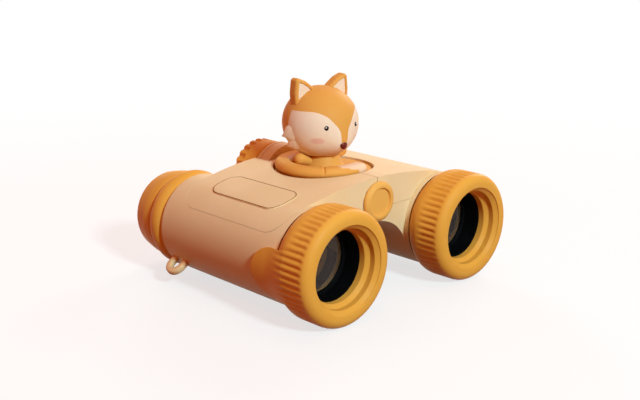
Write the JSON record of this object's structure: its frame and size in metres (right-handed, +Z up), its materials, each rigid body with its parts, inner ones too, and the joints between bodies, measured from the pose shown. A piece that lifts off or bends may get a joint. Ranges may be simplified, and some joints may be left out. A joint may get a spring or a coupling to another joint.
{
  "type": "toy binoculars",
  "caption": "Folding toy binoculars on a centre hinge, with a focus wheel that racks both eyepieces and a fox figure seated on the bridge.",
  "frame": {"origin": "middle of the footprint, on the surface that the front rings stand on", "axes": "+X across the barrels with the left half at -X, objectives towards -Y, eyepieces towards +Y, +Z up"},
  "size_m": [0.097, 0.0906, 0.0686],
  "materials": {
    "sand_shell": "satin moulded shell",
    "amber_trim": "satin soft-touch trim",
    "fox_orange": "hard vinyl, matt",
    "fox_cream": "hard vinyl, matt",
    "fox_nose": "painted, semi-gloss",
    "black_gloss": "gloss",
    "black_plastic": "matt black inside",
    "lens_glass": "polished",
    "steel": "turned"
  },
  "bodies": {
    "hinge_core": {"hinge_tube": "steel", "hinge_cap": "amber_trim", "hinge_hood": "sand_shell", "figure_plinth": "fox_orange", "figure_screw": "steel", "fox_torso": "fox_orange", "fox_tail": "fox_orange", "fox_tail_tip": "fox_cream", "fox_head": "fox_orange", "fox_nose": "fox_nose", "fox_eyes": "black_gloss"},
    "left_half": {"left_barrel": "sand_shell", "left_cover": "sand_shell", "left_front_ring": "amber_trim", "left_bezel": "amber_trim", "left_objective_cell": "black_plastic", "left_objective_lens": "lens_glass", "left_lens_retainer": "black_plastic", "left_strap_loop": "sand_shell", "left_case_screws": "steel", "label_plate": "sand_shell"},
    "left_eyepiece": {"left_eye_ring": "amber_trim", "left_eyecup": "amber_trim", "left_eye_tube": "black_plastic", "left_eye_lens": "lens_glass"},
    "right_half": {"right_barrel": "sand_shell", "right_cover": "sand_shell", "right_front_ring": "amber_trim", "right_bezel": "amber_trim", "right_objective_cell": "black_plastic", "right_objective_lens": "lens_glass", "right_lens_retainer": "black_plastic", "right_strap_loop": "sand_shell", "right_case_screws": "steel"},
    "right_eyepiece": {"right_eye_ring": "amber_trim", "right_eyecup": "amber_trim", "right_eye_tube": "black_plastic", "right_eye_lens": "lens_glass"},
    "focus_wheel": {"focus_wheel": "amber_trim"},
    "focus_spindle": {"focus_spindle": "steel", "spindle_cap": "amber_trim"}
  },
  "joints": [
    {"name": "left_fold", "type": "hinge", "parent": "hinge_core", "child": "left_half", "pos_m": [0, 0, 0.03055], "axis": [0, -1, 0], "range_deg": [0, 12]},
    {"name": "right_fold", "type": "hinge", "parent": "hinge_core", "child": "right_half", "pos_m": [0, 0, 0.03055], "axis": [0, 1, 0], "range_deg": [0, 12]},
    {"name": "focus_turn", "type": "hinge", "parent": "hinge_core", "child": "focus_wheel", "pos_m": [0, 0, 0.03055], "axis": [0, 1, 0], "range_deg": [0, 360]},
    {"name": "spindle_travel", "type": "slide", "parent": "hinge_core", "child": "focus_spindle", "axis": [0, 1, 0], "range_m": [0, 0.004]},
    {"name": "left_eyepiece_travel", "type": "slide", "parent": "left_half", "child": "left_eyepiece", "axis": [0, 1, 0], "range_m": [0, 0.004]},
    {"name": "right_eyepiece_travel", "type": "slide", "parent": "right_half", "child": "right_eyepiece", "axis": [0, 1, 0], "range_m": [0, 0.004]}
  ],
  "couplings": [
    {"joint": "focus_turn", "follows": "spindle_travel", "rad_per_m": 1570},
    {"joint": "left_eyepiece_travel", "follows": "spindle_travel", "ratio": 1},
    {"joint": "right_eyepiece_travel", "follows": "spindle_travel", "ratio": 1}
  ]
}
